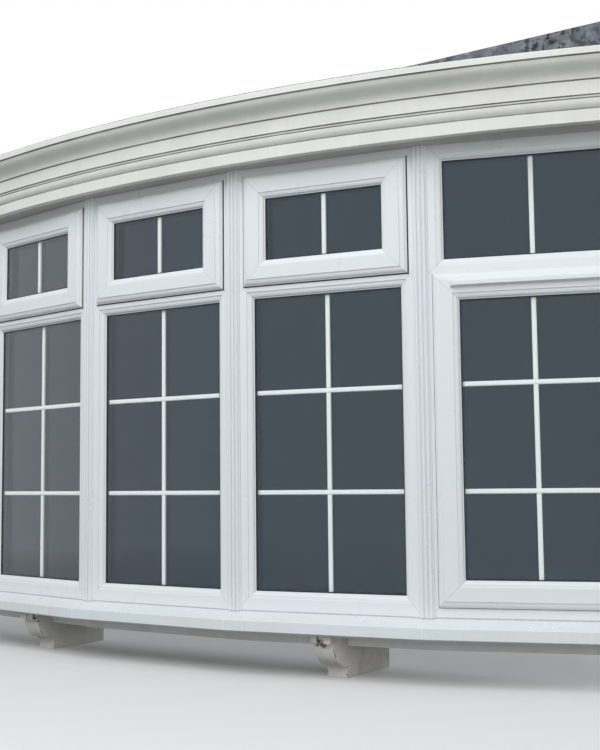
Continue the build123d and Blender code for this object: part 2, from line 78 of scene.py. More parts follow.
run = [Vector((0.0, 0.0, 0.0))]
for angle, width in zip(turns, lightWidths):
    run.append(run[-1] + along(angle) * width)
endCorner = bow["frameDepth"] * math.cos(turns[-1]) - bow["frameGap"] * math.sin(turns[-1])
projection = (run[-1] - run[middle]).y + endCorner + bow["wallPlay"]
shift = Vector((-bow["lightWidth"] / 2, -projection, 0.0)) - run[middle]
corners = [point + shift for point in run]
corniceRadius = bow["lightWidth"] / 2 / math.tan(halfTurn) + bow["flattening"]
curveCentre = corniceRadius - projection

# Both kinds of light in a light's own measure: x runs along it, y inwards from the frame's face and z up
# from its foot. Glass and sash are given as inset from the light's sides, foot and head.
lightKinds = {
    "end": {
        "fixed": (0.067, 1.045, 1.342),
        "sash": (0.035, 0.031, 0.998),
        "fixedBars": (),
        "sashBars": (0.362, 0.6727),
    },
    "inner": {
        "fixed": (0.067, 0.060, 0.972),
        "sash": (0.040, 1.010, 1.363),
        "fixedBars": (0.362, 0.6727),
        "sashBars": (),
    },
}
glassPlaces = {
    "sashRail": 0.078,
    "fixedFace": 0.0175,
    "sashFace": -0.004,
}


def edgesOf(width, inset, foot, head):
    return inset, width - inset, foot, head


def standAt(corner, turn):
    return Matrix.Translation(corner + Vector((0.0, 0.0, bow["footLevel"]))) @ Matrix.Rotation(turn, 4, "Z")


lights = []
for number, name in enumerate(lightNames):
    kind = lightKinds["end" if name in endLights else "inner"]
    left, right, low, high = sash = edgesOf(lightWidths[number], *kind["sash"])
    rail = glassPlaces["sashRail"]
    lights.append({
        "name": name,
        "isEnd": name in endLights,
        "width": lightWidths[number],
        "turn": turns[number],
        "place": standAt(corners[number], turns[number]),
        "sash": sash,
        "fixedUnit": {
            "edges": edgesOf(lightWidths[number], *kind["fixed"]),
            "face": glassPlaces["fixedFace"],
            "bars": kind["fixedBars"],
        },
        "sashUnit": {
            "edges": (left + rail, right - rail, low + rail, high - rail),
            "face": glassPlaces["sashFace"],
            "bars": kind["sashBars"],
        },
    })
print("layout: bow stands out", round(projection, 4), "m")


# Node helpers
def addNode(tree, kind, inputs=None, **settings):
    made = tree.nodes.new(kind)
    for key, value in settings.items():
        setattr(made, key, value)
    for key, value in (inputs or {}).items():
        if isinstance(value, bpy.types.NodeSocket):
            tree.links.new(value, made.inputs[key])
        else:
            made.inputs[key].default_value = value
    return made


def calc(tree, operation, first, second=0.0):
    return addNode(tree, "ShaderNodeMath", {0: first, 1: second}, operation=operation).outputs[0]


def mixColour(tree, amount, first, second):
    return addNode(tree, "ShaderNodeMix", {0: amount, 6: first, 7: second}, data_type="RGBA").outputs[2]


def objectPoint(tree, scale=(1.0, 1.0, 1.0)):
    source = addNode(tree, "ShaderNodeTexCoord").outputs["Object"]
    return addNode(tree, "ShaderNodeMapping", {"Vector": source, "Scale": scale}).outputs[0]


def noiseOf(tree, point, scale, detail=4.0, rough=0.55, warp=0.0):
    values = {"Vector": point, "Scale": scale, "Detail": detail, "Roughness": rough, "Distortion": warp}
    return addNode(tree, "ShaderNodeTexNoise", values).outputs["Fac"]


def ranged(tree, value, low, high, toLow=0.0, toHigh=1.0):
    values = {0: value, 1: low, 2: high, 3: toLow, 4: toHigh}
    return addNode(tree, "ShaderNodeMapRange", values).outputs[0]


def newMaterial(name):
    material = bpy.data.materials.new(name)
    material.use_nodes = True
    tree = material.node_tree
    return material, tree, tree.nodes["Principled BSDF"]


def addBump(tree, shader, height, distance):
    bump = addNode(tree, "ShaderNodeBump", {"Height": height, "Distance": distance, "Strength": 1.0})
    tree.links.new(bump.outputs[0], shader.inputs["Normal"])


def dressShader(tree, shader, tone, rough, height, distance):
    tree.links.new(tone, shader.inputs["Base Color"])
    tree.links.new(rough, shader.inputs["Roughness"])
    addBump(tree, shader, height, distance)


def colour(red, green, blue):
    return (red, green, blue, 1.0)


# White window plastic: faint cloudy soiling, streaks of run-off, thin weld lines at the mitres
plasticLook = {
    "base": colour(0.80, 0.84, 0.865),
    "soiled": colour(0.66, 0.69, 0.70),
    "soiling": 0.14,
    "cloudScale": 6.0,
    "streakScale": 90.0,
    "streakStretch": (1.0, 1.0, 0.05),
    "grainScale": 900.0,
    "weld": colour(0.42, 0.44, 0.46),
    "weldAmount": 0.75,
    "weldWidth": 0.0009,
    "rough": (0.24, 0.40),
    "bump": 0.0002,
}
barLook = dict(plasticLook, base=colour(0.90, 0.92, 0.93), soiling=0.1)
sillLook = dict(plasticLook, soiled=colour(0.54, 0.56, 0.57), soiling=0.4)


def weldMask(tree, local, edges, width):
    parts = addNode(tree, "ShaderNodeSeparateXYZ", {0: local})
    beyond = []
    for axis, low, high in (("X", edges[0], edges[1]), ("Z", edges[2], edges[3])):
        offset = calc(tree, "SUBTRACT", parts.outputs[axis], (low + high) / 2)
        beyond.append(calc(tree, "SUBTRACT", calc(tree, "ABSOLUTE", offset), (high - low) / 2))
    spread = calc(tree, "ABSOLUTE", calc(tree, "SUBTRACT", beyond[0], beyond[1]))
    line = ranged(tree, spread, width * 0.35, width, 1.0, 0.0)
    outside = calc(tree, "GREATER_THAN", calc(tree, "MINIMUM", beyond[0], beyond[1]), 0.0)
    return calc(tree, "MULTIPLY", line, outside)


def lightPoint(tree, light):
    source = addNode(tree, "ShaderNodeTexCoord").outputs["Object"]
    values = {"Vector": source, "Location": light["place"].translation, "Rotation": (0.0, 0.0, light["turn"])}
    return addNode(tree, "ShaderNodeMapping", values, vector_type="TEXTURE").outputs[0]


def makePlastic(name, look, light=None, weldEdges=()):
    material, tree, shader = newMaterial(name)
    clouds = noiseOf(tree, objectPoint(tree), look["cloudScale"], 5.0, 0.6)
    streaks = noiseOf(tree, objectPoint(tree, look["streakStretch"]), look["streakScale"], 3.0)
    grain = noiseOf(tree, objectPoint(tree), look["grainScale"], 2.0)
    soil = calc(tree, "MULTIPLY", ranged(tree, clouds, 0.42, 0.75), ranged(tree, streaks, 0.35, 0.8))
    tone = mixColour(tree, calc(tree, "MULTIPLY", soil, look["soiling"]), look["base"], look["soiled"])
    height = calc(tree, "MULTIPLY", grain, 0.25)
    if light:
        local = lightPoint(tree, light)
        weld = 0.0
        for edges in weldEdges:
            weld = calc(tree, "MAXIMUM", weldMask(tree, local, edges, look["weldWidth"]), weld)
        tone = mixColour(tree, calc(tree, "MULTIPLY", weld, look["weldAmount"]), tone, look["weld"])
        height = calc(tree, "SUBTRACT", height, calc(tree, "MULTIPLY", weld, 1.5))
    rough = ranged(tree, clouds, 0.3, 0.7, *look["rough"])
    dressShader(tree, shader, tone, rough, height, look["bump"])
    return material


# Old paint on wood: brush lines, dirt in patches and runs, near-black lines in the quirks that are painted
# shade with some grime, chips down to grey wood
paintLook = {
    "base": colour(0.81, 0.81, 0.765),
    "dirt": colour(0.50, 0.49, 0.43),
    "dirtAmount": 0.25,
    "patchScale": 7.0,
    "runScale": 55.0,
    "runStretch": (1.0, 1.0, 0.06),
    "brushScale": 700.0,
    "brushStretch": (0.05, 0.05, 1.0),
    "specks": 0.35,
    "speckScale": 420.0,
    "chips": 0.0,
    "chipScale": 48.0,
    "bare": colour(0.30, 0.26, 0.20),
    "edge": colour(0.9, 0.9, 0.86),
    "quirks": (),  # levels of the moulding's grooves
    "rough": (0.42, 0.62),
    "bump": 0.0004,
}
# The cornice's quirk levels get near-black lines: painted shade of its grooves and of the undersides of its
# steps, with some grime
corniceLook = dict(
    paintLook, quirks=(1.611, 1.556, 1.513, 1.506, 1.479), quirkWidth=0.0034,
    shadeAndGrime=colour(0.20, 0.195, 0.175))
# The soffit's paint is much darker than the cornice's: painted shade for the underside below the cornice,
# with its dirt
soffitShadeLook = dict(
    paintLook, base=colour(0.50, 0.50, 0.465), dirt=colour(0.30, 0.30, 0.27), dirtAmount=0.5)
bracketLook = dict(
    paintLook, base=colour(0.82, 0.80, 0.765), dirt=colour(0.42, 0.38, 0.35), dirtAmount=0.45,
    patchScale=14.0, brushStretch=(1.0, 0.05, 0.05), specks=0.6, chips=0.035,
    bare=colour(0.16, 0.13, 0.11), edge=colour(0.84, 0.83, 0.80), rough=(0.5, 0.75), bump=0.0007)
skirtLook = dict(
    bracketLook, base=colour(0.88, 0.88, 0.86), dirt=colour(0.60, 0.57, 0.53), patchScale=9.0,
    brushStretch=(0.05, 0.05, 1.0), specks=0.3, chips=0.0)
innerLook = dict(
    paintLook, base=colour(0.78, 0.78, 0.76), dirt=colour(0.62, 0.61, 0.58), specks=0.1,
    rough=(0.3, 0.42), bump=0.0002)


# Near-black lines at the quirk levels: painted shade, with some grime
def shadeAndGrimeLines(tree, point, look):
    level = addNode(tree, "ShaderNodeSeparateXYZ", {0: point}).outputs["Z"]
    width = look["quirkWidth"]
    shadeAndGrime = 0.0
    for quirk in look["quirks"]:
        away = calc(tree, "ABSOLUTE", calc(tree, "SUBTRACT", level, quirk - width * 0.25))
        line = ranged(tree, away, width * 0.3, width * 0.6, 1.0, 0.0)
        shadeAndGrime = calc(tree, "MAXIMUM", line, shadeAndGrime)
    return shadeAndGrime


def makePaint(name, look):
    material, tree, shader = newMaterial(name)
    point = objectPoint(tree)
    patches = noiseOf(tree, point, look["patchScale"], 6.0, 0.62, 0.4)
    runs = noiseOf(tree, objectPoint(tree, look["runStretch"]), look["runScale"], 4.0, 0.6)
    brush = noiseOf(tree, objectPoint(tree, look["brushStretch"]), look["brushScale"], 2.0)
    specks = noiseOf(tree, point, look["speckScale"], 3.0, 0.7)
    dirt = ranged(tree, patches, 0.40, 0.78)
    dirt = calc(tree, "MAXIMUM", dirt, calc(tree, "MULTIPLY", ranged(tree, runs, 0.5, 0.8), 0.8))
    tone = mixColour(tree, calc(tree, "MULTIPLY", dirt, look["dirtAmount"]), look["base"], look["dirt"])
    tone = mixColour(tree, ranged(tree, specks, 0.66, 0.74, 0.0, look["specks"]), tone, look["dirt"])
    height = calc(tree, "MULTIPLY", brush, 0.35)
    if look["quirks"]:
        patchy = ranged(tree, patches, 0.25, 0.60, 0.62, 0.95)
        shadeAndGrime = calc(tree, "MULTIPLY", shadeAndGrimeLines(tree, point, look), patchy)
        tone = mixColour(tree, shadeAndGrime, tone, look["shadeAndGrime"])
    if look["chips"] > 0.0:
        flakes = noiseOf(tree, point, look["chipScale"], 7.0, 0.68, 0.9)
        rim = ranged(tree, flakes, 0.67 - look["chips"], 0.70 - look["chips"])
        chip = ranged(tree, flakes, 0.70 - look["chips"], 0.715 - look["chips"])
        tone = mixColour(tree, calc(tree, "MULTIPLY", rim, 0.35), tone, look["edge"])
        tone = mixColour(tree, chip, tone, look["bare"])
        height = calc(tree, "SUBTRACT", height, calc(tree, "MULTIPLY", chip, 1.6))
    rough = ranged(tree, patches, 0.3, 0.75, *look["rough"])
    dressShader(tree, shader, tone, rough, height, look["bump"])
    return material


# Bare sawn timber, with grain along its length
timberLook = {
    "pale": colour(0.56, 0.42, 0.27),
    "dark": colour(0.30, 0.19, 0.10),
    "grainScale": 60.0,
    "grainStretch": (0.04, 1.0, 1.0),
    "poreScale": 900.0,
    "poreStretch": (0.02, 1.0, 1.0),
    "rough": (0.62, 0.85),
    "bump": 0.0006,
}


def makeTimber(name, look):
    material, tree, shader = newMaterial(name)
    grain = noiseOf(tree, objectPoint(tree, look["grainStretch"]), look["grainScale"], 5.0, 0.6, 1.2)
    pores = noiseOf(tree, objectPoint(tree, look["poreStretch"]), look["poreScale"], 2.0)
    tone = mixColour(tree, ranged(tree, grain, 0.3, 0.7), look["pale"], look["dark"])
    tone = mixColour(tree, ranged(tree, pores, 0.55, 0.7, 0.0, 0.4), tone, look["dark"])
    rough = ranged(tree, grain, 0.3, 0.7, *look["rough"])
    dressShader(tree, shader, tone, rough, calc(tree, "ADD", grain, pores), look["bump"])
    return material


# Weathered lead: blue-grey with pale bloom and runs, and dark blots that gather in patches
leadLook = {
    "mid": colour(0.150, 0.163, 0.188),
    "pale": colour(0.29, 0.315, 0.355),
    "dark": colour(0.018, 0.019, 0.022),
    "bloomScale": 16.0,
    "runScale": 75.0,
    "runStretch": (1.0, 1.0, 0.12),
    "runAmount": 0.7,
    "blotScale": 38.0,
    "gatherScale": 3.4,
    "blotAmount": (0.40, 0.92),  # between the patches and in them
    "dentScale": 11.0,
    "metallic": 0.35,
    "rough": (0.46, 0.72),
    "bump": 0.0012,
}


def makeLead(name, look):
    material, tree, shader = newMaterial(name)
    point = objectPoint(tree)
    bloom = noiseOf(tree, point, look["bloomScale"], 8.0, 0.66, 0.6)
    runs = noiseOf(tree, objectPoint(tree, look["runStretch"]), look["runScale"], 5.0, 0.65)
    blots = noiseOf(tree, point, look["blotScale"], 6.0, 0.7, 0.3)
    dents = noiseOf(tree, point, look["dentScale"], 3.0)
    gathered = ranged(tree, noiseOf(tree, point, look["gatherScale"], 2.0), 0.40, 0.58, *look["blotAmount"])
    tone = mixColour(tree, ranged(tree, bloom, 0.46, 0.66), look["mid"], look["pale"])
    tone = mixColour(tree, ranged(tree, runs, 0.54, 0.70, 0.0, look["runAmount"]), tone, look["pale"])
    tone = mixColour(tree, ranged(tree, blots, 0.49, 0.57, 0.0, gathered), tone, look["dark"])
    height = calc(tree, "ADD", calc(tree, "MULTIPLY", dents, 4.0), blots)
    dressShader(tree, shader, tone, ranged(tree, blots, 0.3, 0.7, *look["rough"]), height, look["bump"])
    shader.inputs["Metallic"].default_value = look["metallic"]
    return material


# Clear outer pane, and a near-black inner pane: painted shade that stands for the unlit room behind it
glassLook = {
    "clear": {"tint": colour(0.95, 0.975, 0.97), "ior": 1.50},
    "room_shade": {"tint": colour(0.009, 0.011, 0.013), "ior": 1.25},
    # Blue tint on the glass's reflections: painted sky colour
    "paintedSkyTint": colour(0.64, 0.82, 1.0),
    "dustScale": 22.0,
    "dustRough": 0.02,
    "waveScale": 2.6,
    "wave": 0.00008,
}


def makeGlass(name, pane, look):
    material, tree, shader = newMaterial(name)
    shader.inputs["Base Color"].default_value = pane["tint"]
    shader.inputs["Transmission Weight"].default_value = 1.0
    shader.inputs["IOR"].default_value = pane["ior"]
    shader.inputs["Specular Tint"].default_value = look["paintedSkyTint"]
    dust = noiseOf(tree, objectPoint(tree), look["dustScale"], 5.0, 0.6)
    wave = noiseOf(tree, objectPoint(tree), look["waveScale"], 1.0)
    rough = ranged(tree, dust, 0.4, 0.75, 0.0, look["dustRough"])
    tree.links.new(rough, shader.inputs["Roughness"])
    addBump(tree, shader, wave, look["wave"])
    through = addNode(tree, "ShaderNodeBsdfTransparent", {0: pane["tint"]})
    shadow = addNode(tree, "ShaderNodeLightPath").outputs["Is Shadow Ray"]
    both = addNode(tree, "ShaderNodeMixShader", {0: shadow, 1: shader.outputs[0], 2: through.outputs[0]})
    tree.links.new(both.outputs[0], tree.nodes["Material Output"].inputs["Surface"])
    return material


# Small finishes, each mixed from two tones
smallLooks = {
    "rubber": {
        "tones": (colour(0.012, 0.012, 0.013), colour(0.03, 0.03, 0.032)),
        "scale": 300.0, "rough": (0.5, 0.7), "bump": 0.0001, "metallic": 0.0,
    },
    "spacer": {
        "tones": (colour(0.10, 0.105, 0.11), colour(0.17, 0.175, 0.18)),
        "scale": 500.0, "rough": (0.3, 0.45), "bump": 0.00005, "metallic": 0.8,
    },
    # Grey of the sealant bead, also painted shade of the crease it fills
    "sealant_and_shade": {
        "tones": (colour(0.36, 0.37, 0.38), colour(0.52, 0.53, 0.54)),
        "scale": 160.0, "rough": (0.5, 0.7), "bump": 0.0003, "metallic": 0.0,
    },
    "joint_white": {
        "tones": (colour(0.93, 0.95, 0.96), colour(0.86, 0.88, 0.89)),
        "scale": 240.0, "rough": (0.3, 0.45), "bump": 0.0002, "metallic": 0.0,
    },
    "worn_wood": {
        "tones": (colour(0.11, 0.103, 0.095), colour(0.42, 0.39, 0.36)),
        "scale": 300.0, "rough": (0.75, 0.9), "bump": 0.0012, "metallic": 0.0,
    },
    "handle_coating": {
        "tones": (colour(0.72, 0.72, 0.71), colour(0.78, 0.78, 0.77)),
        "scale": 1200.0, "rough": (0.28, 0.36), "bump": 0.0001, "metallic": 0.0,
    },
}


def makeSmall(name, look):
    material, tree, shader = newMaterial(name)
    spread = noiseOf(tree, objectPoint(tree), look["scale"], 4.0, 0.6)
    tone = mixColour(tree, ranged(tree, spread, 0.35, 0.7), *look["tones"])
    dressShader(tree, shader, tone, ranged(tree, spread, 0.3, 0.7, *look["rough"]), spread, look["bump"])
    shader.inputs["Metallic"].default_value = look["metallic"]
    return material


plasticLooks = {"sill_plastic": sillLook, "bar_plastic": barLook, "white_plastic": plasticLook}
paintLooks = {
    "cornice_paint": corniceLook,
    "soffit_paint": soffitShadeLook,
    "bracket_paint": bracketLook,
    "skirt_paint": skirtLook,
    "inner_paint": innerLook,
}
materials = {name: makePlastic(name, look) for name, look in plasticLooks.items()}
materials.update({name: makePaint(name, look) for name, look in paintLooks.items()})
materials["plain_timber"] = makeTimber("plain_timber", timberLook)
materials["lead"] = makeLead("lead", leadLook)
for kind in ("clear", "room_shade"):
    materials[kind + "_glass"] = makeGlass(kind + "_glass", glassLook[kind], glassLook)
materials.update({name: makeSmall(name, look) for name, look in smallLooks.items()})
for light in lights:
    fixedEdges, sashGlass = light["fixedUnit"]["edges"], light["sashUnit"]["edges"]
    light["framePlastic"] = makePlastic(
        "plastic_frame_" + light["name"], plasticLook, light, (fixedEdges, light["sash"]))
    light["sashPlastic"] = makePlastic("plastic_sash_" + light["name"], plasticLook, light, (sashGlass,))
print("materials:", len(bpy.data.materials))

# Solids kept from the frame: joined points, small rounded edges, smooth shading by angle, their material
shading = {
    "sharpAngle": 32.0,
    "normalWeight": 70,
    "joinReach": 0.00002,
    "flatAngle": 0.05,
}
edgeFinishes = {  # width of the rounded edge and its steps
    "plastic": (0.0006, 2),
    "cover": (0.0007, 2),
    "sill": (0.0012, 2),
    "cornice": (0.0010, 2),
    "timber": (0.0015, 2),
    "skirt": (0.0018, 2),
    "lead": (0.0006, 2),
    "handle": (0.0016, 3),
}


def newGroup(name):
    group = bpy.data.node_groups.new(name, "GeometryNodeTree")
    for way in ("INPUT", "OUTPUT"):
        group.interface.new_socket("Geometry", in_out=way, socket_type="NodeSocketGeometry")
    start = group.nodes.new("NodeGroupInput")
    end = group.nodes.new("NodeGroupOutput")
    return group, start.outputs[0], end.inputs[0]


def smoothGroup(limit):
    group, start, end = newGroup("smoothByAngle")
    angle = group.nodes.new("GeometryNodeInputMeshEdgeAngle")
    sharp = addNode(group, "FunctionNodeCompare", {0: angle.outputs[0], 1: limit}, operation="GREATER_THAN")
    faces = addNode(group, "GeometryNodeSetShadeSmooth", {"Geometry": start, "Shade Smooth": True},
                    domain="FACE")
    values = {"Geometry": faces.outputs[0], "Selection": sharp.outputs[0], "Shade Smooth": False}
    edges = addNode(group, "GeometryNodeSetShadeSmooth", values, domain="EDGE")
    group.links.new(edges.outputs[0], end)
    return group


def joinGroup(reach):
    group, start, end = newGroup("joinPoints")
    plain = addNode(group, "GeometryNodeRemoveAttribute", {"Geometry": start, "Name": "custom_normal"})
    merged = addNode(group, "GeometryNodeMergeByDistance", {"Geometry": plain.outputs[0], "Distance": reach})
    group.links.new(merged.outputs[0], end)
    return group


smoothing = smoothGroup(math.radians(shading["sharpAngle"]))
joining = joinGroup(shading["joinReach"])


def finishEdges(piece, width, segments=2):
    if width > 0.0:
        bevel = piece.modifiers.new("edges", "BEVEL")
        bevel.width = width
        bevel.segments = segments
        bevel.limit_method = "ANGLE"
        bevel.angle_limit = math.radians(shading["sharpAngle"])
    smooth = piece.modifiers.new("smooth", "NODES")
    smooth.node_group = smoothing
    weighted = piece.modifiers.new("weighted", "WEIGHTED_NORMAL")
    weighted.keep_sharp = True
    weighted.weight = shading["normalWeight"]


def dressNode(name, material, edge):
    node = nodes[name]
    node.data.materials.clear()
    node.data.materials.append(material)
    joined = node.modifiers.new("joined", "NODES")
    joined.node_group = joining
    flat = node.modifiers.new("flat", "DECIMATE")
    flat.decimate_type = "DISSOLVE"
    flat.angle_limit = math.radians(shading["flatAngle"])
    finishEdges(node, *edgeFinishes[edge])


for light in lights:
    dressNode("frame_" + light["name"], light["framePlastic"], "plastic")
    sashKind = "casement_" if light["isEnd"] else "fanlight_"
    dressNode(sashKind + light["name"], light["sashPlastic"], "plastic")
    dressNode("sill_" + light["name"], materials["sill_plastic"], "sill")

dressed = {  # material and edge of each node that stands alone
    "drip_bars": ("white_plastic", "plastic"),
    "fanlight_handles": ("handle_coating", "handle"),
    "casement_handles": ("handle_coating", "handle"),
    "cornice": ("cornice_paint", "cornice"),
    "soffit_board": ("soffit_paint", "timber"),
    "skirt_boards": ("skirt_paint", "skirt"),
    "base_board": ("skirt_paint", "timber"),
    "window_board": ("inner_paint", "timber"),
    "head_board": ("plain_timber", "timber"),
    "roof_deck": ("plain_timber", "timber"),
    "wall_plate": ("plain_timber", "timber"),
    "lead_roof": ("lead", "lead"),
    "lead_flashing": ("lead", "lead"),
}
for number in range(1, len(lights)):
    dressed["mullion_" + str(number)] = ("white_plastic", "cover")
for side in ("left", "right"):
    dressed["jamb_post_" + side] = ("white_plastic", "plastic")
    dressed["cornice_return_" + side] = ("cornice_paint", "cornice")
for name, (material, edge) in dressed.items():
    dressNode(name, materials[material], edge)
print("solids dressed")


# Mesh helpers for the pieces
def finishPiece(name, mesh, pieceMaterials, place=None, edge=0.0):
    bmesh.ops.recalc_face_normals(mesh, faces=mesh.faces[:])
    if place is not None:
        mesh.transform(place)
    data = bpy.data.meshes.new(name)
    mesh.to_mesh(data)
    mesh.free()
    for material in pieceMaterials:
        data.materials.append(materials[material])
    piece = bpy.data.objects.new(name, data)
    bpy.context.scene.collection.objects.link(piece)
    finishEdges(piece, edge)
    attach(piece, "root")
    return piece


def unique(items):  # keeps the order, which a set changes from run to run
    return list(dict.fromkeys(items))


def pull(mesh, faces, way):
    made = bmesh.ops.extrude_face_region(mesh, geom=faces)["geom"]
    ends = [item for item in made if isinstance(item, bmesh.types.BMVert)]
    bmesh.ops.translate(mesh, vec=way, verts=ends)


def addSlab(mesh, low, high, rounding=0.0, segments=2, materialIndex=0):
    centre = (Vector(low) + Vector(high)) / 2
    size = Vector(high) - Vector(low)
    matrix = Matrix.Translation(centre) @ Matrix.Diagonal((size.x, size.y, size.z, 1.0))
    made = bmesh.ops.create_cube(mesh, size=1.0, matrix=matrix)["verts"]
    faces = unique(face for vertex in made for face in vertex.link_faces)
    if rounding > 0.0:
        edges = unique(edge for face in faces for edge in face.edges)
        before = set(mesh.faces) - set(faces)
        bmesh.ops.bevel(mesh, geom=edges, offset=rounding, segments=segments, profile=0.5,
                        affect="EDGES", material=-1)
        faces = [face for face in mesh.faces if face not in before]
    for face in faces:
        face.material_index = materialIndex
    return faces


def addRing(mesh, edges, outward, inward, front, back):
    left, right, low, high = edges
    made = bmesh.ops.create_grid(mesh, x_segments=1, y_segments=1, size=0.5)["verts"]
    matrix = Matrix.Translation(((left + right) / 2, front, (low + high) / 2))
    matrix = matrix @ Matrix.Rotation(math.radians(90), 4, "X")
    matrix = matrix @ Matrix.Diagonal((right - left + 2 * outward, high - low + 2 * outward, 1.0, 1.0))
    bmesh.ops.transform(mesh, matrix=matrix, verts=made)
    whole = next(face for vertex in made for face in vertex.link_faces)
    ring = bmesh.ops.inset_region(mesh, faces=[whole], thickness=outward + inward, use_even_offset=True,
                                  use_boundary=True)
    bmesh.ops.delete(mesh, geom=[whole], context="FACES_ONLY")
    pull(mesh, ring["faces"], (0.0, back - front, 0.0))


# Sealed units: panes with ground edges, the spacer between them, a rubber gasket against the bead
unitSizes = {
    "lap": 0.008,
    "pane": 0.004,
    "unit": 0.028,
    "arris": 0.0006,
    "spacerOut": 0.0055,
    "spacerIn": 0.0020,
    "gasketWidth": 0.0034,
    "gasketProud": 0.0016,
    "gasketRounding": 0.0005,
    "play": 0.0001,
}
for light in lights:
    panes = bmesh.new()
    spacers = bmesh.new()
    gaskets = bmesh.new()
    lap, thickness, play = unitSizes["lap"], unitSizes["pane"], unitSizes["play"]
    for unit in (light["fixedUnit"], light["sashUnit"]):
        left, right, low, high = unit["edges"]
        outer = unit["face"]
        inner = unit["face"] + unitSizes["unit"] - thickness
        for index, start in enumerate((outer, inner)):
            addSlab(panes, (left - lap, start, low - lap), (right + lap, start + thickness, high + lap),
                    unitSizes["arris"], 1, index)
        addRing(spacers, unit["edges"], unitSizes["spacerOut"], unitSizes["spacerIn"],
                outer + thickness + play, inner - play)
        addRing(gaskets, unit["edges"], -play, unitSizes["gasketWidth"],
                outer - unitSizes["gasketProud"], outer - play)
    name, place = light["name"], light["place"]
    pane = finishPiece("panes_" + name, panes, ["clear_glass", "room_shade_glass"], place)
    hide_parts("glass_" + name)
    finishPiece("spacers_" + name, spacers, ["spacer"], place)
    finishPiece("gaskets_" + name, gaskets, ["rubber"], place, unitSizes["gasketRounding"])
print("glazing placed")

# Black rubber seals round the sashes, made wide enough to show as the dark line between sash and frame:
# partly the real seal, partly painted shade of the gap under the sash's lap
sealAndGapShadeSizes = {
    "thickness": 0.0036,
    "casementThickness": 0.0018,
    "front": -0.0012,
    "back": -0.0001,
    "headLap": 0.0022,
    "headShare": 0.6,  # most of the thickness that the lap may take
    "play": 0.0001,
}
for light in lights:
    seals = bmesh.new()
    left, right, low, high = light["sash"]
    thickness = sealAndGapShadeSizes["casementThickness" if light["isEnd"] else "thickness"]
    headLap = min(sealAndGapShadeSizes["headLap"], thickness * sealAndGapShadeSizes["headShare"])
    addRing(seals, (left, right, low, high - headLap), thickness, -sealAndGapShadeSizes["play"],
            sealAndGapShadeSizes["front"], sealAndGapShadeSizes["back"])
    finishPiece("sash_seal_and_gap_shade_" + light["name"], seals, ["rubber"], light["place"])
print("seals placed")

# White glazing bars inside the units: rounded edges, a raised flat along the middle, a cap at each crossing
barSizes = {
    "width": 0.0145,
    "depth": 0.0085,
    "rounding": 0.0026,
    "ridgeInset": 0.0042,
    "ridgeHeight": 0.0007,
    "capRadius": 0.0030,
    "capHeight": 0.0008,
}


def addBar(mesh, low, high):
    faces = addSlab(mesh, low, high, barSizes["rounding"], 3)
    faces = [face for face in faces if abs(face.normal.y) > 0.99]
    inset = barSizes["ridgeInset"] - barSizes["rounding"]
    for face in sorted(faces, key=lambda item: item.calc_area())[-2:]:
        bmesh.ops.inset_region(mesh, faces=[face], thickness=inset, depth=barSizes["ridgeHeight"],
                               use_even_offset=True)


def addCap(mesh, centre):
    matrix = Matrix.Translation(centre) @ Matrix.Rotation(math.radians(90), 4, "X")
    made = bmesh.ops.create_circle(mesh, cap_ends=True, segments=20, radius=barSizes["capRadius"],
                                   matrix=matrix)["verts"]
    faces = unique(face for vertex in made for face in vertex.link_faces)
    pull(mesh, faces, (0.0, -barSizes["capHeight"], 0.0))


for light in lights:
    bars = bmesh.new()
    half = barSizes["width"] / 2
    for unit in (light["fixedUnit"], light["sashUnit"]):
        left, right, low, high = unit["edges"]
        reach = unitSizes["spacerIn"]
        front = unit["face"] + unitSizes["unit"] / 2 - barSizes["depth"] / 2
        back = unit["face"] + unitSizes["unit"] / 2 + barSizes["depth"] / 2
        across = (left + right) / 2
        stops = [low + reach, *unit["bars"], high - reach]
        for start, stop in zip(stops, stops[1:]):
            first = start if start == stops[0] else start + half
            last = stop if stop == stops[-1] else stop - half
            addBar(bars, (across - half, front, first), (across + half, back, last))
        for level in unit["bars"]:
            addBar(bars, (left + reach, front, level - half), (right - reach, back, level + half))
            addCap(bars, (across, front - barSizes["ridgeHeight"], level))
    finishPiece("glazing_bars_" + light["name"], bars, ["bar_plastic"], light["place"])
print("glazing bars placed")

# Grey sealant along the foot of each frame, its grey line also painted shade in the crease where frame meets
# sill
sealantShadeSizes = {
    "endSet": 0.021,
    "out": 0.0024,
    "rise": 0.0024,
    "sunk": 0.0009,
    "lap": 0.0002,
    "rounding": 0.0018,
}
sizes = sealantShadeSizes
for light in lights:
    bead = bmesh.new()
    addSlab(bead, (sizes["endSet"], -sizes["out"], -sizes["sunk"]),
            (light["width"] - sizes["endSet"], sizes["lap"], sizes["rise"]))
    front = [edge for edge in bead.edges if min(vertex.co.z for vertex in edge.verts) > 0.0
             and max(vertex.co.y for vertex in edge.verts) < 0.0]
    bmesh.ops.bevel(bead, geom=front, offset=sizes["rounding"], segments=2, profile=0.5, affect="EDGES",
                    material=-1)
    finishPiece("sill_sealant_shade_" + light["name"], bead, ["sealant_and_shade"], light["place"])

